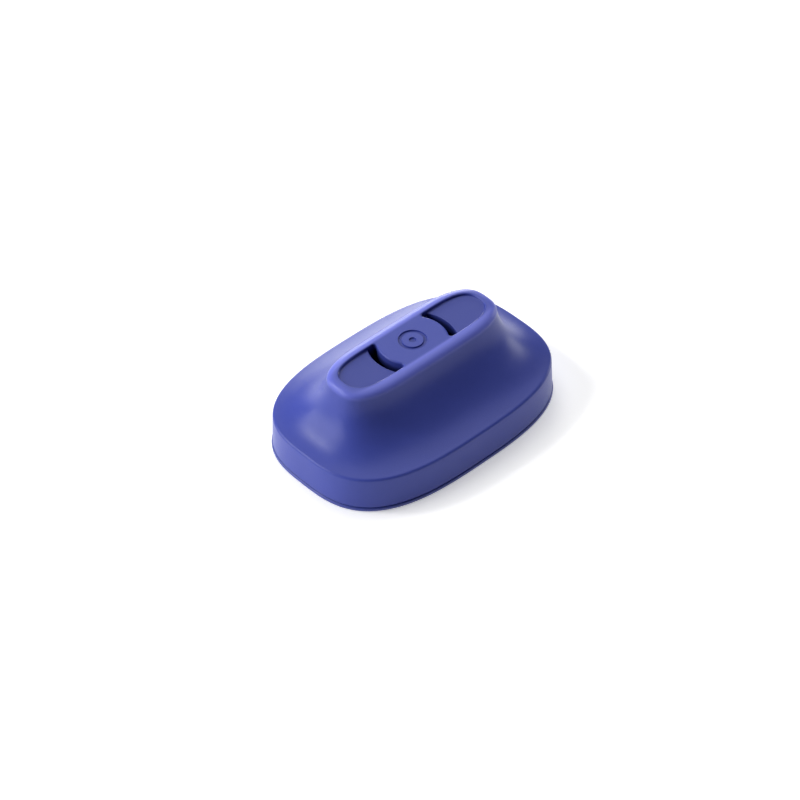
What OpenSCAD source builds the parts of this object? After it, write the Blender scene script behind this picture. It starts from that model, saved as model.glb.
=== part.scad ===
/* [Foot and skirt] */
// Length of the foot, end to end
foot_len = 28.7; // [22:0.1:36]
// Width of the foot, side to side
foot_wid = 19.3; // [15.5:0.1:24]
// Squareness of the oval outline: 2 is an ellipse, more is squarer
oval_power = 2.95; // [2.4:0.05:4]
// Height of the crease where the skirt turns into the shoulder
crease_z = 3.95; // [3.5:0.05:4.6]
// How far the skirt leans in between the foot and the crease, per side
skirt_draft = 0.12; // [0:0.01:0.3]
// Radius of the crease
crease_round = 0.3; // [0.1:0.05:0.6]
// Wall thickness of the soft skirt
skin_wall = 1.3; // [0.9:0.05:1.8]

/* [Dome and nozzle] */
// Overall height, foot to lip rim
cap_h = 9.7; // [8.2:0.1:12]
// Length of the nozzle at its rim
nozzle_len = 19.6; // [16.5:0.1:21]
// Width of the nozzle at its rim
nozzle_wid = 6.8; // [5.9:0.1:8]
// Straight part of the nozzle's long sides, each way from the middle
nozzle_side = 3.3; // [0:0.1:4.5]
// Squareness of the nozzle's two noses
nozzle_power = 2.8; // [2.2:0.1:4]
// Rounding of the rim's outer edge
rim_round = 0.6; // [0.2:0.05:0.8]
// Share of the run to the nozzle that the shallow shoulder takes
shoulder_run = 0.45; // [0.2:0.05:0.6]
// Share of the climb to the rim that the shoulder makes
shoulder_rise = 0.12; // [0:0.01:0.3]
// Share of the run that the steep neck keeps for itself
neck_run = 0.1; // [0:0.01:0.3]
// Share of the climb at which the neck starts to straighten
neck_rise = 0.4; // [0.2:0.05:0.6]

/* [Pockets and air slots] */
// Thickness of the lip at the nozzle's two ends
lip_end = 1.09; // [0.7:0.01:1.3]
// Thickness of the lip along the nozzle's two long sides
lip_side = 1.23; // [0.9:0.01:1.4]
// Squareness of the pocket's two noses
pocket_power = 2.9; // [2.2:0.1:4]
// Depth of the pocket at its far ends
pocket_depth = 0.26; // [0.1:0.02:0.5]
// Extra depth of the pocket where it meets the air slot
pocket_drop = 0.12; // [0:0.02:0.3]
// Thickness of the soft floor under each pocket
pocket_floor = 1.1; // [0.7:0.05:1.6]
// Width of the crescent air slots
slot_w = 0.88; // [0.6:0.02:1.1]
// How far the throat under the pad reaches past the air slots
throat_reach = 1; // [0.4:0.1:1.6]
// Height of the gallery that joins the air inlets to the throat
gallery_h = 1.9; // [1.2:0.1:2.4]
// How far the gallery reaches past the air inlets
gallery_reach = 0.3; // [0.1:0.1:0.6]

/* [Press pad] */
// Radius of the pad's two free edges
pad_r = 3.53; // [3:0.01:3.9]
// Width of the stiff part of the pad
pad_wid = 3.1; // [2.7:0.05:3.3]
// Thickness of the pad
pad_thick = 1.3; // [1:0.05:1.8]
// Rounding of the pad's free edges
pad_round = 0.25; // [0.1:0.01:0.4]
// Thickness of the two flexible webs
web_thick = 0.7; // [0.5:0.05:1]
// Distance of the ring mark from the webs
ring_edge = 0.13; // [0.05:0.01:0.3]
// Width of the ring mark's groove
ring_w = 0.4; // [0.2:0.02:0.5]
// Radius of the dot mark
dot_r = 0.36; // [0.2:0.02:0.6]
// Depth of both marks
mark_depth = 0.14; // [0.05:0.01:0.3]

/* [Push post] */
// Radius of the post's shaft
post_r = 1.2; // [0.9:0.05:1.4]
// Running clearance round the shaft
post_clear = 0.05; // [0.02:0.01:0.1]
// How far the post's head stands out round the shaft
head_step = 0.3; // [0.1:0.05:0.4]
// Thickness of the head
head_thick = 0.5; // [0.3:0.05:0.8]
// Radius of the spigot that centres the head in the pad
spigot_r = 0.8; // [0.5:0.05:1]
// Length of the spigot
spigot_len = 0.6; // [0.3:0.05:0.8]
// Gap between the resting post and the plane of the foot
post_gap = 0.5; // [0.45:0.05:0.9]

/* [Snap frame] */
// Height of the visible foot band
band_h = 0.42; // [0.3:0.02:0.6]
// How far the band stands proud of the skirt
band_proud = 0.08; // [0:0.01:0.2]
// Seam between the band and the soft skirt
band_seam = 0.06; // [0.02:0.01:0.15]
// Depth of the deck's upper face below the crease
deck_cover = 0.55; // [0.4:0.05:0.8]
// Thickness of the deck
deck_thick = 1; // [0.7:0.05:1.4]
// Thickness of the frame's upright wall
frame_wall = 1; // [0.7:0.05:1.4]
// Clearance between the frame's wall and the soft skirt
seat_clear = 0.05; // [0.03:0.01:0.1]
// Wall of the guide boss round the post
boss_wall = 1.05; // [0.7:0.05:1.3]
// Gap between the guide boss and the plane of the foot
boss_gap = 1.3; // [1.1:0.05:1.6]
// Thickness of the ribs under the deck
rib_thick = 0.7; // [0.4:0.05:1]
// Depth of the ribs under the deck
rib_depth = 0.8; // [0.4:0.05:1.1]

/* [Air inlets] */
// Distance of each inlet from the middle
inlet_x = 7; // [6.4:0.1:7.3]
// Radius of the inlet bore
inlet_r = 1.5; // [1.2:0.05:1.7]
// Wall of the collar round each sealing ring
collar_wall = 0.56; // [0.4:0.02:0.8]
// Gap between the collar and the plane of the foot
collar_gap = 0.6; // [0.5:0.05:1]
// How far the sealing ring reaches out round the inlet bore
seal_wall = 0.8; // [0.6:0.05:1]
// Depth of the ring's seat in the collar
seal_seat = 0.7; // [0.5:0.05:0.9]
// How far the ring stands below the collar
seal_proud = 0.35; // [0.2:0.05:0.45]
// Clearance round the ring in its seat
seal_clear = 0.04; // [0.02:0.01:0.1]

/* [Smoothness] */
// Points round each oval outline
oval_points = 88; // [40:4:120]
// Rings between the crease and the rim
dome_rings = 16; // [8:1:24]

/* [Hidden] */
$fn = 48;
round_steps = 4;
through = 0.5;
skin_colour = [0.31, 0.33, 0.66];
frame_colour = [0.36, 0.38, 0.7];
seal_colour = [0.2, 0.2, 0.24];

foot_a = foot_len / 2;
foot_b = foot_wid / 2;
skirt_a = foot_a - band_proud;
skirt_b = foot_b - band_proud;
crease_a = skirt_a - skirt_draft;
crease_b = skirt_b - skirt_draft;
skirt_z = band_h + band_seam;
inner_a = skirt_a - skin_wall;
inner_b = skirt_b - skin_wall;
frame_a = inner_a - seat_clear;
frame_b = inner_b - seat_clear;
nozzle_a = nozzle_len / 2;
nozzle_b = nozzle_wid / 2;
pocket_a = nozzle_a - lip_end;
pocket_b = nozzle_b - lip_side;
slot_r = pad_r + slot_w;
pocket_side = sqrt(slot_r * slot_r - pocket_b * pocket_b);
throat_top = cap_h - pocket_depth - pocket_drop - pocket_floor;
throat_a = slot_r + throat_reach;
gallery_a = inlet_x + inlet_r + gallery_reach;
pad_b = pad_wid / 2;
pad_z = cap_h - pad_thick;
ring_r = pad_b - ring_edge - ring_w / 2;
head_r = post_r + head_step;
boss_r = post_r + post_clear + boss_wall;
deck_top = crease_z - deck_cover;
seal_r = inlet_r + seal_wall;
collar_r = seal_r + seal_clear + collar_wall;
post_len = pad_z - head_thick - post_gap;
deck_z = deck_top - deck_thick;
seat_z = collar_gap + seal_seat;
slope = atan(pocket_drop / (pocket_a - slot_r));

// A value that share s of the way from a to b
function mix(a, b, s) = a + (b - a) * s;

// The point at share t of a cubic curve through four control values
function cubic(p, t) =
    p[0] * pow(1 - t, 3)
    + p[1] * 3 * t * pow(1 - t, 2)
    + p[2] * 3 * t * t * (1 - t)
    + p[3] * pow(t, 3);

// A squared oval with half-lengths a and b
function oval(a, b, power) = [
    for (i = [0 : oval_points - 1])
        let (
            t = 360 * i / oval_points,
            g = pow(pow(abs(cos(t)), power) + pow(abs(sin(t)), power), -1 / power)
        )
        [a * cos(t) * g, b * sin(t) * g]
];

// Straight sides, then a squared-oval nose at each end
function nose_outline(a, b, side, power) = [
    for (p = oval(a - side, b, power))
        [p[0] + (p[0] > 0 ? side : -side), p[1]]
];

// The skin's rings from the foot to the rim: [half-length, half-width, straight side, squareness, height]
fillet_rings = [
    for (i = [0 : round_steps])
        let (angle = 90 * i / round_steps, inset = crease_round * (1 - cos(angle)))
        [
            crease_a - inset,
            crease_b - inset,
            0,
            oval_power,
            crease_z - crease_round * (1 - sin(angle))
        ]
];
shoulder_a = crease_a - crease_round;
shoulder_b = crease_b - crease_round;
rim_z = cap_h - rim_round;
inset_curve = [0, shoulder_run, 1 - neck_run, 1];
climb_curve = [0, shoulder_rise, neck_rise, 1];
dome = [
    for (i = [1 : dome_rings])
        let (t = i / dome_rings, inset = cubic(inset_curve, t))
        [
            mix(shoulder_a, nozzle_a, inset),
            mix(shoulder_b, nozzle_b, inset),
            mix(0, nozzle_side, inset),
            mix(oval_power, nozzle_power, inset),
            mix(crease_z, rim_z, cubic(climb_curve, t))
        ]
];
rim_rings = [
    for (i = [1 : round_steps])
        let (angle = 90 * i / round_steps, inset = rim_round * (1 - cos(angle)))
        [
            nozzle_a - inset,
            nozzle_b - inset,
            nozzle_side,
            nozzle_power,
            rim_z + rim_round * sin(angle)
        ]
];
skin_rings = concat([[skirt_a, skirt_b, 0, oval_power, skirt_z]], fillet_rings, dome, rim_rings);

// A closed solid through a stack of rings
module loft(rings) {
    n = oval_points;
    last = len(rings) - 1;
    points = [
        for (r = rings)
            for (p = nose_outline(r[0], r[1], r[2], r[3]))
                [p[0], p[1], r[4]]
    ];
    sides = [
        for (k = [0 : last - 1])
            for (i = [0 : n - 1])
                let (j = (i + 1) % n)
                [k * n + i, (k + 1) * n + i, (k + 1) * n + j, k * n + j]
    ];
    bottom = [for (i = [0 : n - 1]) i];
    top = [for (i = [n - 1 : -1 : 0]) last * n + i];
    polyhedron(points, concat(sides, [bottom, top]), convexity = 6);
}

// An upright oval prism between two heights
module oval_prism(a, b, power, z0, z1) {
    translate([0, 0, z0])
        linear_extrude(z1 - z0)
            polygon(oval(a, b, power));
}

// An upright cylinder between two heights
module rod(r, z0, z1) {
    translate([0, 0, z0])
        cylinder(r = r, h = z1 - z0);
}

// A straight-sided slot outline with round ends
module stadium(a, b) {
    square([2 * (a - b), 2 * b], center = true);
    for (side = [-1, 1])
        translate([side * (a - b), 0])
            circle(b);
}

// The air chamber: a tall throat under the pad and a low gallery along to the inlets
module air_chamber() {
    translate([0, 0, deck_top - through])
        linear_extrude(throat_top - deck_top + through)
            stadium(throat_a, pocket_b);
    translate([0, 0, deck_top - through])
        linear_extrude(gallery_h + through)
            stadium(gallery_a, pocket_b);
}

// The window that the pad, its webs and the air slots lie in
module window() {
    translate([0, 0, throat_top - through])
        linear_extrude(cap_h - throat_top + 2 * through)
            intersection() {
                circle(slot_r);
                square([2 * slot_r, 2 * pocket_b], center = true);
            }
}

// One shallow pocket, deeper towards the air slot
module pocket() {
    intersection() {
        translate([0, 0, cap_h - pocket_depth - pocket_drop - through])
            linear_extrude(pocket_depth + pocket_drop + 2 * through)
                polygon(nose_outline(pocket_a, pocket_b, pocket_side, pocket_power));
        translate([pocket_a, 0, cap_h - pocket_depth])
            rotate([0, -slope, 0])
                translate([-(pocket_a - pad_r), -pocket_b - 1, 0])
                    cube([pocket_a, 2 * pocket_b + 2, 3]);
    }
}

// The soft outer moulding: skirt, shoulder, nozzle and rim
module silicone_body() {
    color(skin_colour)
        difference() {
            loft(skin_rings);
            oval_prism(inner_a, inner_b, oval_power, skirt_z - through, deck_top);
            air_chamber();
            window();
            pocket();
            mirror([1, 0, 0])
                pocket();
        }
}

// The collar round one air inlet
module collar() {
    rod(collar_r, collar_gap, deck_z + through);
}

// The bore of one air inlet and the seat of its sealing ring
module inlet_cut() {
    rod(inlet_r, collar_gap - through, deck_top + through);
    rod(seal_r + seal_clear, collar_gap - through, seat_z);
}

// The ribs that tie the guide boss to the collars and the walls
module ribs() {
    translate([-frame_a + frame_wall / 2, -rib_thick / 2, deck_z - rib_depth])
        cube([2 * frame_a - frame_wall, rib_thick, rib_depth + through]);
    translate([-rib_thick / 2, -frame_b + frame_wall / 2, deck_z - rib_depth])
        cube([rib_thick, 2 * frame_b - frame_wall, rib_depth + through]);
}

// The stiff inner carrier: foot band, wall, deck, guide boss and inlet collars
module snap_frame() {
    color(frame_colour)
        difference() {
            union() {
                difference() {
                    union() {
                        oval_prism(foot_a, foot_b, oval_power, 0, band_h);
                        oval_prism(frame_a, frame_b, oval_power, 0, deck_top);
                    }
                    oval_prism(frame_a - frame_wall, frame_b - frame_wall, oval_power, -through, deck_z);
                }
                ribs();
                rod(boss_r, boss_gap, deck_z + through);
                for (side = [-1, 1])
                    translate([side * inlet_x, 0, 0])
                        collar();
            }
            rod(post_r + post_clear, -through, deck_top + through);
            for (side = [-1, 1])
                translate([side * inlet_x, 0, 0])
                    inlet_cut();
        }
}

// The round plate that the pad and its webs are cut from, with a rounded upper edge
module pad_plate(thick) {
    translate([0, 0, cap_h - thick])
        rotate_extrude() {
            square([pad_r - pad_round, thick]);
            square([pad_r, thick - pad_round]);
            translate([pad_r - pad_round, thick - pad_round])
                intersection() {
                    circle(pad_round);
                    square(pad_round);
                }
        }
}

// The ring and dot sunk into the pad
module marks() {
    translate([0, 0, cap_h - mark_depth])
        rotate_extrude()
            translate([ring_r - ring_w / 2, 0])
                square([ring_w, mark_depth + through]);
    rod(dot_r, cap_h - mark_depth, cap_h + through);
}

// The pad that a fingertip presses
module press_pad() {
    color(skin_colour)
        difference() {
            intersection() {
                pad_plate(pad_thick);
                translate([-pad_r - 1, -pad_b, 0])
                    cube([2 * pad_r + 2, pad_wid, cap_h + through]);
            }
            marks();
            rod(spigot_r + post_clear, pad_z - through, pad_z + spigot_len + post_clear);
        }
}

// One flexible web between the pad and the nozzle's wall, on the +Y side
module web() {
    color(skin_colour)
        intersection() {
            pad_plate(web_thick);
            translate([-pad_r - 1, pad_b, 0])
                cube([2 * pad_r + 2, pocket_b - pad_b, cap_h + through]);
        }
}

module pad_web_front() {
    mirror([0, 1, 0])
        web();
}

module pad_web_back() {
    web();
}

// The post that carries the press down to the switch underneath
module push_post() {
    color(frame_colour) {
        chamfer = 0.2;
        rod(post_r, post_gap + chamfer, post_gap + post_len + 0.1);
        translate([0, 0, post_gap])
            cylinder(r1 = post_r - chamfer, r2 = post_r, h = chamfer);
        rod(head_r, pad_z - head_thick, pad_z);
        rod(spigot_r, pad_z - 0.1, pad_z + spigot_len);
    }
}

// The soft ring that seals one air inlet
module inlet_seal(side) {
    lip = 0.15;
    color(seal_colour)
        translate([side * inlet_x, 0, collar_gap - seal_proud])
            rotate_extrude()
                union() {
                    translate([inlet_r, lip])
                        square([seal_wall, seal_proud + seal_seat - lip]);
                    translate([inlet_r + lip, 0])
                        square([seal_wall - 2 * lip, lip + 0.1]);
                    for (edge = [inlet_r + lip, seal_r - lip])
                        translate([edge, lip])
                            circle(lip);
                }
}

module inlet_seal_left() {
    inlet_seal(-1);
}

module inlet_seal_right() {
    inlet_seal(1);
}

silicone_body();
snap_frame();
press_pad();
pad_web_front();
pad_web_back();
push_post();
inlet_seal_left();
inlet_seal_right();
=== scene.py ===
from math import atan2, cos, hypot, pi, radians, sin, sqrt

import bmesh
import bpy
from mathutils import Matrix, Vector


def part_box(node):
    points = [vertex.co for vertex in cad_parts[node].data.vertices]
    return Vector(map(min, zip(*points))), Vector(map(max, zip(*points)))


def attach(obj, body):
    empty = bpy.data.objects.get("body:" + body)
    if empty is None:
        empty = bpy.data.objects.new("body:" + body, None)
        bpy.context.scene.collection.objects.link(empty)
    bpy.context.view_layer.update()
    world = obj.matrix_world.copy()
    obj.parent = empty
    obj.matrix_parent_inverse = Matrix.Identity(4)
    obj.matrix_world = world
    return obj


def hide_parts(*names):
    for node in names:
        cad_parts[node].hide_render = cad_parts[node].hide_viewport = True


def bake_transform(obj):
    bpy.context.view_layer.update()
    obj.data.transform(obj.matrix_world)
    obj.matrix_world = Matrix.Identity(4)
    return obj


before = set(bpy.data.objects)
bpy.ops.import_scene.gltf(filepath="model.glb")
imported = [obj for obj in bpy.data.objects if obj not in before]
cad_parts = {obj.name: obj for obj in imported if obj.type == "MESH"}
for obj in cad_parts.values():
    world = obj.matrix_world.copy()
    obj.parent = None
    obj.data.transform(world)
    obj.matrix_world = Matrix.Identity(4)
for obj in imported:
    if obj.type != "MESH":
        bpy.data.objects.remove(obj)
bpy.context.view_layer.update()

# ---------------------------------------------------------------- sizes
# Every length here is in millimetres, as in the design. Meshes are scaled to metres as they are made.
MM = 0.001


def span(node, axis):
    """A node's size along one axis, in millimetres."""
    low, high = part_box(node)
    return (high[axis] - low[axis]) / MM


def level(node, top=True):
    """The height of a node's top or bottom, in millimetres."""
    low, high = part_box(node)
    return (high if top else low).z / MM


OVAL_POWER = 2.95

CAP_TOP = level("silicone_body")
SKIRT_A = span("silicone_body", 0) / 2
SKIRT_B = span("silicone_body", 1) / 2
SKIRT_FOOT = level("silicone_body", top=False)
SKIRT_EDGE = 0.05
SKIRT_DRAFT = 0.12
SKIN_WALL = 1.3
CREASE_Z = 3.95
CREASE_ROUND = 0.3
CREASE_TURN = radians(70)

NOZZLE_A = 9.8
NOZZLE_B = 3.4
NOZZLE_SIDE = 3.3
NOZZLE_POWER = 2.8
RIM_ROUND = 0.6
RIM_ROLL = 1.0
SHOULDER_RUN = 0.45
SHOULDER_RISE = 0.12
NECK_RUN = 0.1
NECK_RISE = 0.4

LIP_END = 1.09
LIP_SIDE = 1.23
POCKET_POWER = 2.9
POCKET_DEPTH = 0.22
POCKET_DROP = 0.12
POCKET_FLOOR = 1.1
POCKET_EDGE = 0.13
POCKET_FOOT = 0.09
RAMP_EDGE = 0.07
SLOT_WIDTH = 0.88
THROAT_REACH = 1.0

PAD_R = span("press_pad", 0) / 2
PAD_THICK = span("press_pad", 2)
PAD_ROUND = 0.22
SLOT_END_ROUND = 0.28
WEB_THICK = span("pad_web_back", 2)
RING_WIDTH = 0.4
RING_EDGE = 0.13
DOT_R = 0.36
MARK_DEPTH = 0.14
MARK_ROUND = 0.05

BAND_A = span("snap_frame", 0) / 2
BAND_B = span("snap_frame", 1) / 2
BAND_H = 0.42
BAND_ROUND = 0.17
SEAT_CLEAR = 0.05
FRAME_WALL = 1.0
DECK_TOP = level("snap_frame")
DECK_THICK = 1.0
BOSS_WALL = 1.05
BOSS_GAP = 1.3
RIB_THICK = 0.7
RIB_DEPTH = 0.8
RIB_SINK = 0.2
RIB_EDGE = 0.12
BOSS_CORE = 0.4
BOSS_SINK = 0.1
BOSS_EDGE = 0.12
DRILL_PAST = 1

POST_FOOT = level("push_post", top=False)
POST_TOP = level("push_post")
HEAD_R = span("push_post", 0) / 2
HEAD_STEP = 0.3
HEAD_THICK = 0.5
POST_R = HEAD_R - HEAD_STEP
POST_CLEAR = 0.05
POST_CHAMFER = 0.2
POST_STEPS = 6
SPIGOT_R = 0.8
SPIGOT_EDGE = 0.06
HEAD_EDGE = 0.05
NECK_FILLET = 0.1
NECK_BELLY = 0.03

SEAL_LEFT_LOW, SEAL_LEFT_HIGH = (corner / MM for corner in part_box("inlet_seal_left"))
INLET_X = -(SEAL_LEFT_LOW.x + SEAL_LEFT_HIGH.x) / 2
SEAL_R = (SEAL_LEFT_HIGH.x - SEAL_LEFT_LOW.x) / 2
SEAL_FOOT = SEAL_LEFT_LOW.z
SEAL_TOP = SEAL_LEFT_HIGH.z
SEAL_LIP = 0.225
SEAL_EDGE = 0.03
SEAL_CLEAR = 0.04
INLET_R = 1.5
COLLAR_GAP = 0.6
COLLAR_WALL = 0.56

CREASE_A = SKIRT_A - SKIRT_DRAFT
CREASE_B = SKIRT_B - SKIRT_DRAFT
SHOULDER_A = CREASE_A - CREASE_ROUND * (1 - cos(CREASE_TURN))
SHOULDER_B = CREASE_B - CREASE_ROUND * (1 - cos(CREASE_TURN))
SHOULDER_Z = CREASE_Z - CREASE_ROUND * (1 - sin(CREASE_TURN))
INNER_A = SKIRT_A - SKIN_WALL
INNER_B = SKIRT_B - SKIN_WALL
FRAME_A = INNER_A - SEAT_CLEAR
FRAME_B = INNER_B - SEAT_CLEAR
POCKET_A = NOZZLE_A - LIP_END
POCKET_B = NOZZLE_B - LIP_SIDE
SLOT_R = PAD_R + SLOT_WIDTH
POCKET_SIDE = sqrt(SLOT_R ** 2 - POCKET_B ** 2)
THROAT_TOP = CAP_TOP - POCKET_DEPTH - POCKET_DROP - POCKET_FLOOR
THROAT_A = SLOT_R + THROAT_REACH
DECK_FOOT = DECK_TOP - DECK_THICK
BOSS_R = POST_R + POST_CLEAR + BOSS_WALL
COLLAR_R = SEAL_R + SEAL_CLEAR + COLLAR_WALL

# The round end of an air slot touches the pad's arc and the pocket's straight side.
SLOT_END_Y = POCKET_B - SLOT_END_ROUND
SLOT_END_X = sqrt((PAD_R + SLOT_END_ROUND) ** 2 - SLOT_END_Y ** 2)
PAD_ANGLE = atan2(SLOT_END_Y, SLOT_END_X)
WEB_START_Y = SLOT_END_Y - SLOT_END_ROUND * sin(PAD_ANGLE)

RING_OUT = span("press_pad", 1) / 2 - RING_EDGE
RING_IN = RING_OUT - RING_WIDTH

# ---------------------------------------------------------------- curves


def mix(a, b, share):
    return a + (b - a) * share


def ease(low, high, value):
    """0 below low, 1 above high, and a smooth step between them."""
    t = min(1.0, max(0.0, (value - low) / (high - low)))
    return t * t * (3 - 2 * t)


def cubic(controls, t):
    """The value at share t of a cubic curve through four control values."""
    a, b, c, d = controls
    s = 1 - t
    return a * s ** 3 + 3 * b * s * s * t + 3 * c * s * t * t + d * t ** 3


def oval_point(a, b, power, angle):
    """A point on a squared oval with half-lengths a and b."""
    c, s = cos(angle), sin(angle)
    g = (abs(c) ** power + abs(s) ** power) ** (-1 / power)
    return a * c * g, b * s * g


SIDE_BLEND = 2.2


def outline_point(a, b, side, power, angle):
    """A point on an outline with straight long sides and a squared-oval nose at each end."""
    x, y = oval_point(a - side, b, power, angle)
    spread = side * ease(0, SIDE_BLEND, abs(x))
    return x + (spread if x > 0 else -spread), y


def steps(start, end, count):
    """count + 1 evenly spaced values from start to end."""
    return [mix(start, end, i / count) for i in range(count + 1)]


# ---------------------------------------------------------------- meshes


SHARP_ANGLE = radians(38)
MERGE = 0.0005
DEGENERATE = 0.0002
TURN_COUNT = 96
OVAL_COUNT = 224
SHORT_EDGE_SHARE = 0.48


def smooth_shaded(mesh):
    """Shades a mesh smooth, but for its sharp edges."""
    mesh.polygons.foreach_set("use_smooth", [True] * len(mesh.polygons))
    mesh.set_sharp_from_angle(angle=SHARP_ANGLE)


def mesh_piece(name, points, faces, material):
    """A smooth-shaded closed mesh from points in millimetres, with doubled points merged."""
    mesh = bpy.data.meshes.new(name)
    mesh.from_pydata([Vector(p) * MM for p in points], [], faces)
    work = bmesh.new()
    work.from_mesh(mesh)
    bmesh.ops.remove_doubles(work, verts=work.verts, dist=MERGE * MM)
    bmesh.ops.dissolve_degenerate(work, edges=work.edges, dist=DEGENERATE * MM)
    bmesh.ops.recalc_face_normals(work, faces=work.faces)
    work.to_mesh(mesh)
    work.free()
    smooth_shaded(mesh)
    mesh.materials.append(material)
    piece = bpy.data.objects.new(name, mesh)
    bpy.context.scene.collection.objects.link(piece)
    return piece


def rows_to_faces(rows, closed_row=True, closed_stack=False):
    """Quads between successive rows of equal length. Points are numbered row after row."""
    n = len(rows[0])
    last = len(rows) if closed_stack else len(rows) - 1
    faces = []
    for k in range(last):
        here, there = k * n, ((k + 1) % len(rows)) * n
        for i in range(n if closed_row else n - 1):
            j = (i + 1) % n
            faces.append((here + i, here + j, there + j, there + i))
    return faces


def turned_rows(profile, x):
    """The rows of a shape turned round an upright axis at x, one for each [radius, height] of the profile."""
    angles = [2 * pi * i / TURN_COUNT for i in range(TURN_COUNT)]
    return [[(x + r * cos(t), r * sin(t), z) for t in angles] for r, z in profile]


def oval_row(inset, z):
    """A row at a height, in from the band's edge by an inset."""
    angles = [2 * pi * i / OVAL_COUNT for i in range(OVAL_COUNT)]
    return [(*oval_point(BAND_A - inset, BAND_B - inset, OVAL_POWER, t), z) for t in angles]


def flat_list(rows):
    return [p for row in rows for p in row]


def rounded(profile, radii, count=5):
    """A closed [x, y] outline with each corner cut back to an arc-like curve of about its own radius."""
    corners = [Vector(point) for point in profile]
    result = []
    for i, here in enumerate(corners):
        to_before = corners[i - 1] - here
        to_after = corners[(i + 1) % len(corners)] - here
        shorter = min(to_before.length, to_after.length)
        cut = min(radii[i], shorter * SHORT_EDGE_SHARE)
        start = here + to_before.normalized() * cut
        end = here + to_after.normalized() * cut
        for t in steps(0, 1, count):
            result.append(tuple(start * (1 - t) ** 2 + here * 2 * t * (1 - t) + end * t * t))
    return result


# ---------------------------------------------------------------- the soft outer moulding

INNER_EDGE_STEPS = 4
OUTER_EDGE_STEPS = 5
SKIRT_STEPS = 8
CREASE_STEPS = 8
SHOULDER_STEPS = 56
RIM_STEPS = 10
NOSE_COLUMNS = 42
SLOT_END_COLUMNS = 7
SEAM_COLUMNS = 9
SLOT_START_ANGLE = radians(68)
SLOT_STOP_ANGLE = radians(71)


def body_columns():
    """The columns of the body's mesh, all the way round: [outline angle, kind, x, y of the pocket's edge].

    Kind nose follows the pocket's round nose, slot_end is where an air slot meets the nozzle's side wall,
    and seam is where the pad's web joins that wall. One quadrant is made, then mirrored left and front.
    """
    quadrant = []
    for i in range(NOSE_COLUMNS + 1):
        share = i / NOSE_COLUMNS
        x, y = oval_point(POCKET_A - POCKET_SIDE, POCKET_B, POCKET_POWER, share * pi / 2)
        quadrant.append((share * SLOT_START_ANGLE, "nose", x + POCKET_SIDE, y))
    for i in range(SLOT_END_COLUMNS + 1):
        share = i / SLOT_END_COLUMNS
        x = mix(POCKET_SIDE, SLOT_END_X, share)
        quadrant.append((mix(SLOT_START_ANGLE, SLOT_STOP_ANGLE, share), "slot_end", x, POCKET_B))
    for i in range(SEAM_COLUMNS + 1):
        share = i / SEAM_COLUMNS
        x = mix(SLOT_END_X, 0, share)
        quadrant.append((mix(SLOT_STOP_ANGLE, pi / 2, share), "seam", x, POCKET_B))
    columns = list(quadrant)
    columns += [(pi - t, kind, -x, y) for t, kind, x, y in reversed(quadrant[:-1])]
    columns += [(-t, kind, x, -y) for t, kind, x, y in reversed(columns[1:-1])]
    return columns


def skin_rings():
    """The rings of the skin from inside the skirt, round its lower edge and up to the lip's flat top."""
    rings = [
        (INNER_A, INNER_B, 0, OVAL_POWER, DECK_TOP),
        (INNER_A, INNER_B, 0, OVAL_POWER, SKIRT_FOOT + SKIRT_EDGE),
    ]
    for angle in steps(0, pi / 2, INNER_EDGE_STEPS)[1:]:
        inset = SKIRT_EDGE * (1 - cos(angle))
        drop = SKIRT_EDGE * (1 - sin(angle))
        rings.append((INNER_A + inset, INNER_B + inset, 0, OVAL_POWER, SKIRT_FOOT + drop))
    for angle in steps(0, pi / 2, OUTER_EDGE_STEPS):
        inset = SKIRT_EDGE * (1 - sin(angle))
        drop = SKIRT_EDGE * (1 - cos(angle))
        rings.append((SKIRT_A - inset, SKIRT_B - inset, 0, OVAL_POWER, SKIRT_FOOT + drop))
    crease_start = CREASE_Z - CREASE_ROUND
    for share in steps(0, 1, SKIRT_STEPS)[1:-1]:
        lean = SKIRT_DRAFT * share
        z = mix(SKIRT_FOOT + SKIRT_EDGE, crease_start, share)
        rings.append((SKIRT_A - lean, SKIRT_B - lean, 0, OVAL_POWER, z))
    for angle in steps(0, CREASE_TURN, CREASE_STEPS):
        inset = CREASE_ROUND * (1 - cos(angle))
        z = crease_start + CREASE_ROUND * sin(angle)
        rings.append((CREASE_A - inset, CREASE_B - inset, 0, OVAL_POWER, z))
    rim_start = CAP_TOP - RIM_ROUND
    for t in steps(0, 1, SHOULDER_STEPS)[1:]:
        share = cubic((0, SHOULDER_RUN, 1 - NECK_RUN, 1), t)
        climb = cubic((0, SHOULDER_RISE, NECK_RISE, 1), t)
        rings.append((
            mix(SHOULDER_A, NOZZLE_A, share),
            mix(SHOULDER_B, NOZZLE_B, share),
            mix(0, NOZZLE_SIDE, share),
            mix(OVAL_POWER, NOZZLE_POWER, share),
            mix(SHOULDER_Z, rim_start, climb),
        ))
    for angle in steps(0, pi / 2, RIM_STEPS)[1:]:
        inset = RIM_ROLL * (1 - cos(angle))
        z = rim_start + RIM_ROUND * sin(angle)
        rings.append((NOZZLE_A - inset, NOZZLE_B - inset, NOZZLE_SIDE, NOZZLE_POWER, z))
    return rings


def pocket_floor_z(x):
    """The height of a pocket's sloping floor."""
    share = (POCKET_A - abs(x)) / (POCKET_A - SLOT_R)
    return CAP_TOP - POCKET_DEPTH - POCKET_DROP * share


def edge_offset(x, y):
    """The unit direction out of the pocket's outline at one of its points."""
    if abs(x) <= POCKET_SIDE:
        return 0.0, 1.0 if y > 0 else -1.0
    a, b, power = POCKET_A - POCKET_SIDE, POCKET_B, POCKET_POWER
    u = (abs(x) - POCKET_SIDE) / a
    v = abs(y) / b
    nx, ny = u ** (power - 1) / a, v ** (power - 1) / b
    size = hypot(nx, ny)
    return (nx if x > 0 else -nx) / size, (ny if y > 0 else -ny) / size


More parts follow.
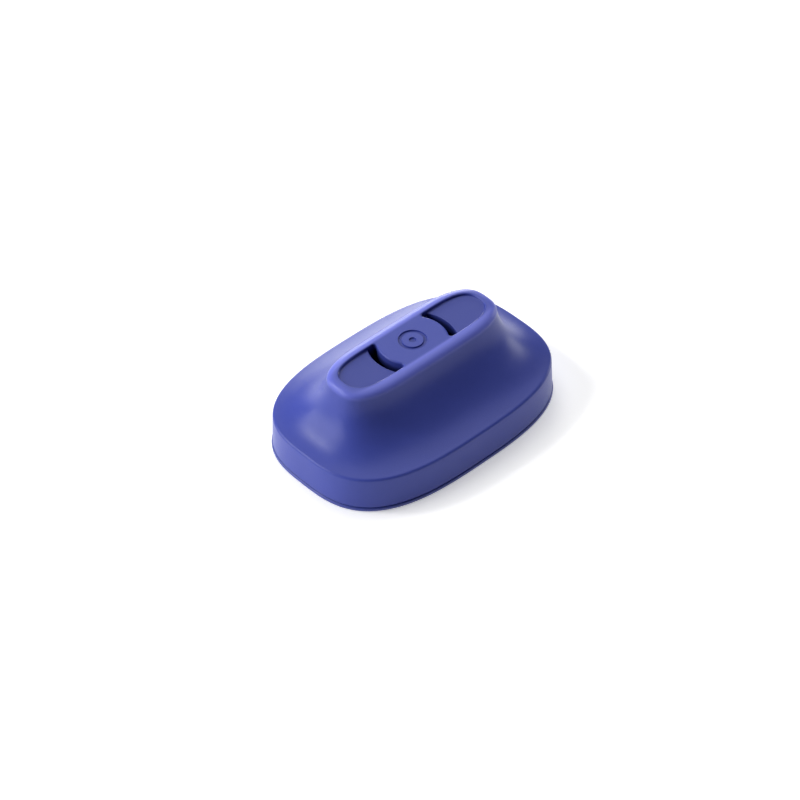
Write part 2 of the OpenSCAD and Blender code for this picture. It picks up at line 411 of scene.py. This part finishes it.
def throat_point(x, y):
    """The point of the throat's round-ended outline that lies beside a point of the pocket's edge."""
    side = THROAT_A - POCKET_B
    if abs(x) <= side:
        return x, POCKET_B if y > 0 else -POCKET_B
    centre = side if x > 0 else -side
    angle = atan2(y, x - centre)
    return centre + POCKET_B * cos(angle), POCKET_B * sin(angle)


def nose_fractions(columns):
    """How far along its pocket's edge each nose column lies, from one end of the air slot to the other."""
    fractions = {}
    for sign in (1, -1):
        chosen = [i for i, c in enumerate(columns) if c[1] == "nose" and c[2] * sign > 0]
        chosen.sort(key=lambda i: atan2(columns[i][3], abs(columns[i][2])))
        lengths = [0.0]
        for one, two in zip(chosen, chosen[1:]):
            dx, dy = columns[two][2] - columns[one][2], columns[two][3] - columns[one][3]
            lengths.append(lengths[-1] + hypot(dx, dy))
        for i, length in zip(chosen, lengths):
            fractions[i] = length / lengths[-1]
    return fractions


EDGE_STEPS = 5
FLOOR_STEPS = 14
LIP_STEPS = 7
EDGE_SHARE = 0.4


def inner_path(column, fraction):
    """The points of one column from the lip's flat top down the pocket or slot to the deck."""
    _, kind, x, y = column
    ox, oy = edge_offset(x, y)
    throat_x, throat_y = throat_point(x, y)
    path = [(x + ox * POCKET_EDGE, y + oy * POCKET_EDGE, CAP_TOP)]
    if kind == "seam":
        wide_y = y + oy * POCKET_EDGE
        path += [(x, wide_y, CAP_TOP - WEB_THICK)] * EDGE_STEPS
        path += [(x, y, CAP_TOP - WEB_THICK)] * (EDGE_STEPS + FLOOR_STEPS + EDGE_STEPS)
        path += [(x, y, THROAT_TOP)] * 2
        path.append((x, y, DECK_TOP))
        return path
    for angle in steps(0, pi / 2, EDGE_STEPS)[1:]:
        out = POCKET_EDGE * (1 - sin(angle))
        path.append((x + ox * out, y + oy * out, CAP_TOP - POCKET_EDGE * (1 - cos(angle))))
    if kind == "slot_end":
        for share, count in ((0.3, EDGE_STEPS), (0.6, FLOOR_STEPS), (0.8, EDGE_STEPS)):
            path += [(x, y, mix(CAP_TOP - POCKET_EDGE, THROAT_TOP, share))] * count
        path += [(x, y, THROAT_TOP), (throat_x, throat_y, THROAT_TOP), (throat_x, throat_y, DECK_TOP)]
        return path
    limit = atan2(POCKET_B, POCKET_SIDE)
    arc = mix(-limit, limit, fraction)
    side = 1 if x > 0 else -1
    arc_x, arc_y = side * SLOT_R * cos(arc), SLOT_R * sin(arc)
    reach = hypot(arc_x - x, arc_y - y)
    foot = min(POCKET_FOOT, EDGE_SHARE * reach)
    edge = min(RAMP_EDGE, EDGE_SHARE * reach)
    floor_z = pocket_floor_z(x)
    for angle in steps(0, pi / 2, EDGE_STEPS)[1:]:
        inset = foot * (1 - cos(angle))
        path.append((x - ox * inset, y - oy * inset, floor_z + foot * (1 - sin(angle))))
    near = (x - ox * foot, y - oy * foot)
    far = (arc_x + side * edge * cos(arc), arc_y + edge * sin(arc))
    for share in steps(0, 1, FLOOR_STEPS)[1:]:
        px, py = mix(near[0], far[0], share), mix(near[1], far[1], share)
        path.append((px, py, pocket_floor_z(px)))
    arc_z = pocket_floor_z(arc_x)
    for angle in steps(0, pi / 2, EDGE_STEPS)[1:]:
        out = edge * (1 - sin(angle))
        z = arc_z - edge * (1 - cos(angle))
        path.append((arc_x + side * out * cos(arc), arc_y + out * sin(arc), z))
    path += [(arc_x, arc_y, THROAT_TOP), (throat_x, throat_y, THROAT_TOP), (throat_x, throat_y, DECK_TOP)]
    return path


def silicone_body(material):
    """Skirt, crease, shoulder, nozzle, lip and pockets as one closed skin."""
    columns = body_columns()
    fractions = nose_fractions(columns)
    rows = []
    for a, b, side, power, z in skin_rings():
        rows.append([(*outline_point(a, b, side, power, column[0]), z) for column in columns])
    paths = [inner_path(c, fractions.get(i)) for i, c in enumerate(columns)]
    lip = rows[-1]
    for share in steps(0, 1, LIP_STEPS)[1:-1]:
        rows.append([
            (mix(p[0], path[0][0], share), mix(p[1], path[0][1], share), CAP_TOP)
            for p, path in zip(lip, paths)
        ])
    for k in range(len(paths[0])):
        rows.append([path[k] for path in paths])
    return mesh_piece("silicone_skin", flat_list(rows), rows_to_faces(rows, closed_stack=True), material)


# ---------------------------------------------------------------- the pad and its webs

SIDE_STEPS_END = 12
SIDE_STEPS_ARC = 56
SIDE_ROUND_STEPS = 7
ACROSS = 56
DOT_ROWS = (0.1, 0.2)
PAD_FLAT_ROWS = (0.33, 0.66)
TOUCH = 1e-6


def bridge_side():
    """The pad's free edge on the +X side, front to back: [x, y, outward x, outward y, rounding]."""
    points = []
    turn_start, turn_end = -pi / 2, -pi - PAD_ANGLE
    for i in range(SIDE_STEPS_END):
        share = i / SIDE_STEPS_END
        angle = mix(turn_start, turn_end, share)
        out_x, out_y = -cos(angle), -sin(angle)
        x = SLOT_END_X - SLOT_END_ROUND * out_x
        y = -SLOT_END_Y - SLOT_END_ROUND * out_y
        points.append((x, y, out_x, out_y, mix(POCKET_EDGE, PAD_ROUND, ease(0, 1, share))))
    for angle in steps(-PAD_ANGLE, PAD_ANGLE, SIDE_STEPS_ARC):
        points.append((PAD_R * cos(angle), PAD_R * sin(angle), cos(angle), sin(angle), PAD_ROUND))
    for x, y, out_x, out_y, size in reversed(points[:SIDE_STEPS_END]):
        points.append((x, -y, out_x, -out_y, size))
    return points


def side_profile(point, thick):
    """One column of the pad's free edge, from its flat top round and down to its underside."""
    x, y, out_x, out_y, size = point
    path = []
    for angle in steps(0, pi / 2, SIDE_ROUND_STEPS):
        back = size * (1 - sin(angle))
        path.append((x - out_x * back, y - out_y * back, CAP_TOP - size * (1 - cos(angle))))
    path.append((x, y, CAP_TOP - thick))
    return path


def mirror_x(points):
    return [(-x, y, z) for x, y, z in points]


def web(name, side, material):
    """One flexible web, from the pad's edge to the nozzle's wall. Side is -1 in front and 1 at the back."""
    points = [p for p in bridge_side() if p[1] * side >= WEB_START_Y - TOUCH]
    rows = []
    for point in points:
        right = side_profile(point, WEB_THICK)
        left = mirror_x(right)
        across = [
            (mix(left[0][0], right[0][0], share), right[0][1], CAP_TOP)
            for share in steps(0, 1, ACROSS)[1:-1]
        ]
        rows.append(list(reversed(left)) + across + right)
    faces = rows_to_faces(rows)
    n = len(rows[0])
    faces.append(tuple(range(n)))
    faces.append(tuple(range((len(rows) - 1) * n, len(rows) * n)))
    return mesh_piece(name, flat_list(rows), faces, material)


def pad_outline():
    """The columns round the pad, counter-clockwise: right edge, back cut, left edge and front cut."""
    arc = bridge_side()[SIDE_STEPS_END:SIDE_STEPS_END + SIDE_STEPS_ARC + 1]
    right = [side_profile(p, PAD_THICK) for p in arc]
    left = [mirror_x(path) for path in reversed(right)]
    end_x, end_y, _ = right[-1][0]
    back = [[(mix(end_x, -end_x, share), end_y, CAP_TOP)] for share in steps(0, 1, ACROSS)]
    front = [[(-x, -y, z)] for [(x, y, z)] in back]
    return right, back, left, front


def mark_depth_at(radius):
    """How deep the ring and dot lie at a distance from the pad's middle."""
    ring = ease(RING_IN, RING_IN + MARK_ROUND, radius) - ease(RING_OUT - MARK_ROUND, RING_OUT, radius)
    dot = 1 - ease(DOT_R - MARK_ROUND, DOT_R, radius)
    return MARK_DEPTH * max(ring, dot)


def pad_radii():
    """The radii of the pad's round mesh rows, close together where the marks have their edges."""
    radii = list(DOT_ROWS)
    for low, high, count in (
        (DOT_R - MARK_ROUND, DOT_R, 5),
        (DOT_R, RING_IN, 5),
        (RING_IN, RING_IN + MARK_ROUND, 5),
        (RING_IN + MARK_ROUND, RING_OUT - MARK_ROUND, 3),
        (RING_OUT - MARK_ROUND, RING_OUT, 5),
    ):
        radii += steps(low, high, count)[0 if low < DOT_R else 1:]
    return radii


def round_row(columns, radius, z):
    """A round row with one point on the way out to each column."""
    angles = [atan2(column[0][1], column[0][0]) for column in columns]
    return [(radius * cos(angle), radius * sin(angle), z) for angle in angles]


def press_pad(material):
    """The pad with its ring and dot, its two rounded free edges and its underside."""
    right, back, left, front = pad_outline()
    columns = right + back + left + front
    depth = len(right[0])
    under = CAP_TOP - PAD_THICK
    rims = []
    for column in columns:
        x, y, _ = column[0]
        full = column if len(column) == depth else column * (depth - 1) + [(x, y, under)]
        rims.append(full)
    rows = [round_row(rims, radius, CAP_TOP - mark_depth_at(radius)) for radius in pad_radii()]
    last = rows[-1]
    for share in PAD_FLAT_ROWS:
        rows.append([
            (mix(p[0], rim[0][0], share), mix(p[1], rim[0][1], share), CAP_TOP)
            for p, rim in zip(last, rims)
        ])
    for k in range(depth):
        rows.append([rim[k] for rim in rims])
    socket_top = POST_TOP + POST_CLEAR
    rows.append(round_row(rims, SPIGOT_R + POST_CLEAR, under))
    rows.append(round_row(rims, SPIGOT_R + POST_CLEAR, socket_top))
    points = flat_list(rows)
    faces = rows_to_faces(rows)
    n = len(rims)
    points.append((0, 0, CAP_TOP - MARK_DEPTH))
    points.append((0, 0, socket_top))
    for i in range(n):
        j = (i + 1) % n
        faces.append((len(points) - 2, j, i))
        faces.append((len(points) - 1, (len(rows) - 1) * n + i, (len(rows) - 1) * n + j))
    return mesh_piece("pad_button", points, faces, material)


# ---------------------------------------------------------------- the stiff pieces


def combine(piece, other, operation):
    """Joins another solid to a piece, or cuts it out. The other is used up."""
    joined = piece.modifiers.new("joined", "BOOLEAN")
    joined.operation = operation
    joined.solver = "EXACT"
    joined.object = other
    bpy.context.view_layer.update()
    result = piece.evaluated_get(bpy.context.evaluated_depsgraph_get())
    solid = bpy.data.meshes.new_from_object(result)
    piece.modifiers.clear()
    piece.data = solid
    bpy.data.objects.remove(other)


def oval_shell(profile, material):
    """A closed ring solid whose section is a list of [inset from the band's edge, height]."""
    rows = [oval_row(inset, z) for inset, z in profile]
    return mesh_piece("oval_shell", flat_list(rows), rows_to_faces(rows, closed_stack=True), material)


def turned_piece(name, profile, material, x=0.0, closed=True):
    """A turned solid: a ring if its profile is closed, else one that starts and ends on the axis."""
    rows = turned_rows(profile, x)
    return mesh_piece(name, flat_list(rows), rows_to_faces(rows, closed_stack=closed), material)


def rib(along, across, material):
    """A rib under the deck with chamfered lower edges, centred on the middle."""
    low, high = DECK_FOOT - RIB_DEPTH, DECK_FOOT + RIB_SINK
    half = RIB_THICK / 2
    section = [
        (-half, high), (-half, low + RIB_EDGE), (-half + RIB_EDGE, low),
        (half - RIB_EDGE, low), (half, low + RIB_EDGE), (half, high),
    ]
    rows = []
    for end in (-1, 1):
        if across:
            rows.append([(s, end * along, z) for s, z in section])
        else:
            rows.append([(end * along, s, z) for s, z in section])
    faces = rows_to_faces(rows)
    faces.append(tuple(range(len(section))))
    faces.append(tuple(range(len(section), 2 * len(section))))
    return mesh_piece("rib", flat_list(rows), faces, material)


def deck_plate(material):
    """The deck, before its holes are drilled. It reaches half way into the frame's wall."""
    inset = BAND_A - FRAME_A + FRAME_WALL / 2
    rows = [oval_row(inset, z) for z in (DECK_FOOT, DECK_TOP)]
    faces = rows_to_faces(rows)
    faces.append(tuple(range(OVAL_COUNT)))
    faces.append(tuple(range(OVAL_COUNT, 2 * OVAL_COUNT)))
    return mesh_piece("deck", flat_list(rows), faces, material)


def cut_round(piece, radius, x, low, high):
    """Cuts a round hole through a piece."""
    profile = [(0, low), (radius, low), (radius, high), (0, high)]
    combine(piece, turned_piece("drill", profile, None, x=x), "DIFFERENCE")


def boss(name, radius, foot, material, x=0.0):
    """A round boss or collar under the deck. Its narrow hole is drilled to size later."""
    top = DECK_TOP - BOSS_SINK
    section = [(BOSS_CORE, foot), (radius, foot), (radius, top), (BOSS_CORE, top)]
    return turned_piece(name, rounded(section, [BOSS_EDGE] * len(section)), material, x=x)


def snap_frame(material):
    """Foot band, upright wall, deck, ribs, guide boss and inlet collars as one moulding."""
    wall_out = BAND_A - FRAME_A
    wall_in = wall_out + FRAME_WALL
    section = [
        (0, 0), (0, BAND_H), (wall_out, BAND_H),
        (wall_out, DECK_TOP), (wall_in, DECK_TOP), (wall_in, 0),
    ]
    piece = oval_shell(rounded(section, [BAND_ROUND] * len(section), 4), material)
    piece.name = "carrier"
    combine(piece, deck_plate(material), "UNION")
    combine(piece, rib(FRAME_A - FRAME_WALL / 2, False, material), "UNION")
    combine(piece, rib(FRAME_B - FRAME_WALL / 2, True, material), "UNION")
    combine(piece, boss("boss", BOSS_R, BOSS_GAP, material), "UNION")
    for x in (-INLET_X, INLET_X):
        combine(piece, boss("collar", COLLAR_R, COLLAR_GAP, material, x), "UNION")
    below, above = -DRILL_PAST, DECK_TOP + DRILL_PAST
    cut_round(piece, POST_R + POST_CLEAR, 0, below, above)
    for x in (-INLET_X, INLET_X):
        cut_round(piece, INLET_R, x, below, above)
        cut_round(piece, SEAL_R + SEAL_CLEAR, x, below, SEAL_TOP)
    piece.data.materials.clear()
    piece.data.materials.append(material)
    smooth_shaded(piece.data)
    return piece


def push_post(material):
    """The post: a rounded foot, the shaft, the head and the spigot that enters the pad."""
    head_low = CAP_TOP - PAD_THICK - HEAD_THICK
    head_high = CAP_TOP - PAD_THICK
    outline = [(0, POST_FOOT)]
    for angle in steps(0, pi / 2, POST_STEPS):
        inset = POST_CHAMFER * (1 - sin(angle))
        outline.append((POST_R - inset, POST_FOOT + POST_CHAMFER * (1 - cos(angle))))
    outline += [(POST_R, head_low - NECK_FILLET), (POST_R + NECK_BELLY, head_low - NECK_BELLY)]
    outline += [(POST_R + NECK_FILLET, head_low), (HEAD_R - HEAD_EDGE, head_low)]
    outline += [(HEAD_R, head_low + HEAD_EDGE), (HEAD_R, head_high - HEAD_EDGE)]
    outline += [(HEAD_R - HEAD_EDGE, head_high), (SPIGOT_R, head_high)]
    outline += [(SPIGOT_R, POST_TOP - SPIGOT_EDGE), (SPIGOT_R - SPIGOT_EDGE, POST_TOP), (0, POST_TOP)]
    return turned_piece("press_post", outline, material, closed=False)


def inlet_seal(name, x, material):
    """One soft sealing ring with a rounded lower lip."""
    section = [(INLET_R, SEAL_TOP), (INLET_R, SEAL_FOOT), (SEAL_R, SEAL_FOOT), (SEAL_R, SEAL_TOP)]
    radii = [SEAL_EDGE, SEAL_LIP, SEAL_LIP, SEAL_EDGE]
    return turned_piece(name, rounded(section, radii, 6), material, x=x)


# ---------------------------------------------------------------- materials


class Wire:
    """A shader socket with the arithmetic that the materials use."""

    def __init__(self, tree, socket):
        self.tree = tree
        self.socket = socket

    def node(self, kind, settings=None, values=(), output=0):
        """Adds a node to this wire's tree."""
        return add_node(self.tree, kind, settings, values, output)

    def maths(self, operation, *values):
        return self.node("ShaderNodeMath", {"operation": operation}, values)

    def smooth(self, low, high):
        """0 below low, 1 above high, and a smooth step between them. Low may be the larger."""
        settings = {"interpolation_type": "SMOOTHSTEP"}
        values = {"Value": self, "From Min": min(low, high), "From Max": max(low, high)}
        step = self.node("ShaderNodeMapRange", settings, values)
        return step if low < high else 1 - step

    def __add__(self, other):
        return self.maths("ADD", self, other)

    def __radd__(self, other):
        return self.maths("ADD", other, self)

    def __sub__(self, other):
        return self.maths("SUBTRACT", self, other)

    def __rsub__(self, other):
        return self.maths("SUBTRACT", other, self)

    def __mul__(self, other):
        return self.maths("MULTIPLY", self, other)

    def __rmul__(self, other):
        return self.maths("MULTIPLY", other, self)

    def __pow__(self, power):
        return self.maths("POWER", self, power)

    def __abs__(self):
        return self.maths("ABSOLUTE", self)


def add_node(tree, kind, settings=None, values=(), output=0):
    """Adds one node: its settings first, then the values or wires of its sockets, by place or by name."""
    made = tree.nodes.new(kind)
    for name, value in (settings or {}).items():
        setattr(made, name, value)
    pairs = values.items() if isinstance(values, dict) else enumerate(values)
    for name, value in pairs:
        if isinstance(value, Wire):
            tree.links.new(value.socket, made.inputs[name])
        else:
            made.inputs[name].default_value = value
    return Wire(tree, made.outputs[output])


class Finish:
    """A material, with short ways to reach its shader's sockets and the places on its surface."""

    def __init__(self, name):
        self.material = bpy.data.materials.new(name)
        self.material.use_nodes = True
        self.tree = self.material.node_tree
        self.shader = next(n for n in self.tree.nodes if n.type == "BSDF_PRINCIPLED")
        where = add_node(self.tree, "ShaderNodeTexCoord", output="Object")
        self.place = where.node("ShaderNodeVectorMath", {"operation": "SCALE"}, {0: where, "Scale": 1 / MM})
        self.tint = None

    def set(self, **sockets):
        """Feeds the shader's sockets. An underscore in a name stands for a space."""
        for name, value in sockets.items():
            socket = self.shader.inputs[name.replace("_", " ")]
            if isinstance(value, Wire):
                self.tree.links.new(value.socket, socket)
            else:
                socket.default_value = value

    def axes(self):
        """The distances along X, Y and Z on the surface, in millimetres."""
        return [self.place.node("ShaderNodeSeparateXYZ", None, [self.place], axis) for axis in "XYZ"]

    def noise(self, per_mm, detail=2.0, roughness=0.5):
        """A soft random pattern with about per_mm lumps in a millimetre."""
        values = {"Vector": self.place, "Scale": per_mm, "Detail": detail, "Roughness": roughness}
        return self.place.node("ShaderNodeTexNoise", None, values)

    def colour(self, share, one, two):
        """A colour between two, which are wires or red, green and blue."""
        ends = [end if isinstance(end, Wire) else (*end, 1) for end in (one, two)]
        return self.place.node("ShaderNodeMix", {"data_type": "RGBA"}, {0: share, 6: ends[0], 7: ends[1]}, 2)

    def bump(self, height, depth, strength):
        values = {"Strength": strength, "Distance": depth * MM, "Height": height}
        return self.place.node("ShaderNodeBump", None, values)


SKIN_LIGHT = (0.054, 0.074, 0.370)
SKIN_DEEP = (0.047, 0.066, 0.330)
# A painted highlight: the lip's paler colour stands in for the light that the rounded lip catches.
SKIN_LIP_PAINTED_HIGHLIGHT = (0.180, 0.208, 0.740)
# Painted shade for the recesses inside the pocket: the pocket floors, the pad's sides and the mark's grooves.
SKIN_RECESS_PAINTED_SHADE = (0.032, 0.046, 0.255)
# Painted shade for the deep parts of the air slots.
SKIN_SLOT_PAINTED_SHADE = (0.012, 0.018, 0.100)
CARRIER_LIGHT = (0.046, 0.066, 0.340)
CARRIER_DEEP = (0.039, 0.057, 0.300)
SEAL_LIGHT = (0.030, 0.030, 0.038)
SEAL_DEEP = (0.018, 0.018, 0.024)

DRIFT_PER_MM = 0.35
DRIFT_GLOSS = 0.06
GRAIN_GLOSS = 0.14


def moulded(name, light, deep, roughness, grain, grain_depth, strength):
    """A moulding with a faint drift of colour and gloss, and the fine grain of its mould.

    Grain is how many of the mould's marks fit in a millimetre, and grain_depth is their depth in millimetres.
    """
    finish = Finish(name)
    drift = finish.noise(DRIFT_PER_MM, detail=3)
    fine = finish.noise(grain * 0.6)
    pits = finish.noise(grain, roughness=0.6)
    finish.tint = finish.colour(drift * 0.7 + fine * 0.3, deep, light)
    finish.set(
        Base_Color=finish.tint,
        Roughness=roughness + (fine - 0.5) * GRAIN_GLOSS + (drift - 0.5) * DRIFT_GLOSS,
        Normal=finish.bump(pits, grain_depth, strength),
    )
    return finish


def silicone_finish():
    """The soft skin, with painted light: a painted highlight makes the lip paler, and painted shade makes the
    pockets, the mark's grooves and the air slots deeper in colour.

    Spread is about 1 on the pocket's edge, less inside it and more outside.
    Below is the depth under the cap's top.
    """
    finish = moulded(
        "soft_silicone", SKIN_LIGHT, SKIN_DEEP,
        roughness=0.33, grain=8.0, grain_depth=0.010, strength=0.7,
    )
    x, y, z = finish.axes()
    spread = (abs(x) * (1 / POCKET_A)) ** 4 + (abs(y) * (1 / POCKET_B)) ** 4
    inside = spread.smooth(1.1, 1.0)
    below = CAP_TOP - z
    # Painted highlight: the lip and its outer rounding near the top are made paler, for the light that the
    # lip catches.
    lip = spread.smooth(0.85, 1.7) * below.smooth(0.9, 0.1)
    # Painted shade: inside the pocket's outline, everything lower than the top (pocket floors, the pad's
    # sides, the mark's grooves) is made darker.
    recess_shade_mask = inside * below.smooth(0.05, 0.13)
    # Painted shade: further down, in the air slots, the colour goes darker still.
    slot = inside * below.smooth(0.45, 1.1)
    tint = finish.colour(lip * 0.7, finish.tint, SKIN_LIP_PAINTED_HIGHLIGHT)
    tint = finish.colour(recess_shade_mask * 0.7, tint, SKIN_RECESS_PAINTED_SHADE)
    tint = finish.colour(slot * 0.9, tint, SKIN_SLOT_PAINTED_SHADE)
    finish.set(Base_Color=tint, Specular_IOR_Level=0.24)
    return finish


def floor_finish():
    """The pale table. It glows a little, so that shadows on it stay light."""
    finish = Finish("pale_floor")
    finish.set(
        Base_Color=finish.colour(finish.noise(0.02), (0.90, 0.90, 0.90), (0.93, 0.93, 0.93)),
        Roughness=0.9,
        Emission_Color=(1, 1, 1, 1),
        Emission_Strength=0.36,
    )
    return finish


def carrier_finish():
    """The stiff carrier's satin plastic."""
    return moulded(
        "carrier_plastic", CARRIER_LIGHT, CARRIER_DEEP,
        roughness=0.42, grain=6.0, grain_depth=0.008, strength=0.35,
    )


def seal_finish():
    """The dark rubber of the sealing rings."""
    return moulded(
        "sealing_rubber", SEAL_LIGHT, SEAL_DEEP,
        roughness=0.55, grain=8.0, grain_depth=0.01, strength=0.35,
    )


silicone = silicone_finish().material
frame_plastic = carrier_finish().material
seal_rubber = seal_finish().material

# ---------------------------------------------------------------- assembly

body = silicone_body(silicone)
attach(body, "cap")
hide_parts("silicone_body")

pad = press_pad(silicone)
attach(pad, "pad")
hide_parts("press_pad")

for name, side in (("web_front", -1), ("web_back", 1)):
    piece = web(name, side, silicone)
    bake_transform(piece)
    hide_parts("pad_" + name)

carrier = snap_frame(frame_plastic)
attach(carrier, "cap")
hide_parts("snap_frame")

post = push_post(frame_plastic)
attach(post, "pad")
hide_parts("push_post")

for side, x in (("left", -INLET_X), ("right", INLET_X)):
    seal = inlet_seal("seal_" + side, x, seal_rubber)
    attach(seal, "cap")
    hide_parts("inlet_seal_" + side)

# ---------------------------------------------------------------- stage, lights and camera


FLOOR_HALF = 3.0


def floor():
    """The square table top, in metres."""
    corners = [(x * FLOOR_HALF, y * FLOOR_HALF, 0) for x, y in ((-1, -1), (1, -1), (1, 1), (-1, 1))]
    mesh = bpy.data.meshes.new("floor")
    mesh.from_pydata(corners, [], [(0, 1, 2, 3)])
    mesh.materials.append(floor_finish().material)
    piece = bpy.data.objects.new("floor", mesh)
    bpy.context.scene.collection.objects.link(piece)
    return piece


def direction(azimuth, elevation):
    """The unit vector from the cap towards a place round it. Azimuth 0 is in front, on the -Y side."""
    a, e = radians(azimuth), radians(elevation)
    return Vector((sin(a) * cos(e), -cos(a) * cos(e), sin(e)))


def soft_light(name, azimuth, elevation, distance, wide, tall, power):
    """A soft box that looks at the cap from a direction round it."""
    lamp = bpy.data.lights.new(name, "AREA")
    lamp.shape = "RECTANGLE"
    lamp.size = wide
    lamp.size_y = tall
    lamp.energy = power
    holder = bpy.data.objects.new(name, lamp)
    place = direction(azimuth, elevation) * distance
    holder.location = place
    holder.rotation_euler = place.to_track_quat("Z", "Y").to_euler()
    bpy.context.scene.collection.objects.link(holder)


def camera(azimuth, elevation, distance, lens, right_mm, up_mm, roll):
    """The camera, aimed a little beside the middle of the foot."""
    back = direction(azimuth, elevation)
    right = Vector((cos(radians(azimuth)), sin(radians(azimuth)), 0))
    up = back.cross(right)
    target = (right * right_mm + up * up_mm) * MM
    data = bpy.data.cameras.new("camera")
    data.lens = lens
    data.sensor_width = 36
    data.clip_start = 0.01
    holder = bpy.data.objects.new("camera", data)
    turn = Matrix((right, up, back)).transposed() @ Matrix.Rotation(radians(roll), 3, "Z")
    holder.matrix_world = Matrix.Translation(target + back * distance * MM) @ turn.to_4x4()
    bpy.context.scene.collection.objects.link(holder)
    bpy.context.scene.camera = holder


def studio_world():
    """A faint white surround, with the colours shown as they are."""
    world = bpy.data.worlds.new("studio")
    world.use_nodes = True
    background = world.node_tree.nodes["Background"]
    background.inputs["Color"].default_value = (1, 1, 1, 1)
    background.inputs["Strength"].default_value = WORLD_STRENGTH
    bpy.context.scene.world = world
    bpy.context.scene.view_settings.view_transform = "Standard"


WORLD_STRENGTH = 0.03

# Each light's name, azimuth, elevation, distance, width, height and power. Lengths here are in metres.
LIGHTS = (
    ("key", -139, 44, 0.5, 0.05, 0.05, 0.45),
    ("broad", -130, 25, 0.6, 0.6, 0.4, 3.4),
    ("overhead", 138, 64, 0.6, 0.6, 0.6, 2.3),
    ("back", 143, 10, 0.5, 0.2, 0.2, 1.0),
    ("right_end", 84, 14, 0.5, 0.14, 0.24, 0.55),
)

floor()
for light in LIGHTS:
    soft_light(*light)
studio_world()
camera(azimuth=-42.03, elevation=43.07, distance=286.5, lens=132.5, right_mm=-1.31, up_mm=1.37, roll=-1.06)
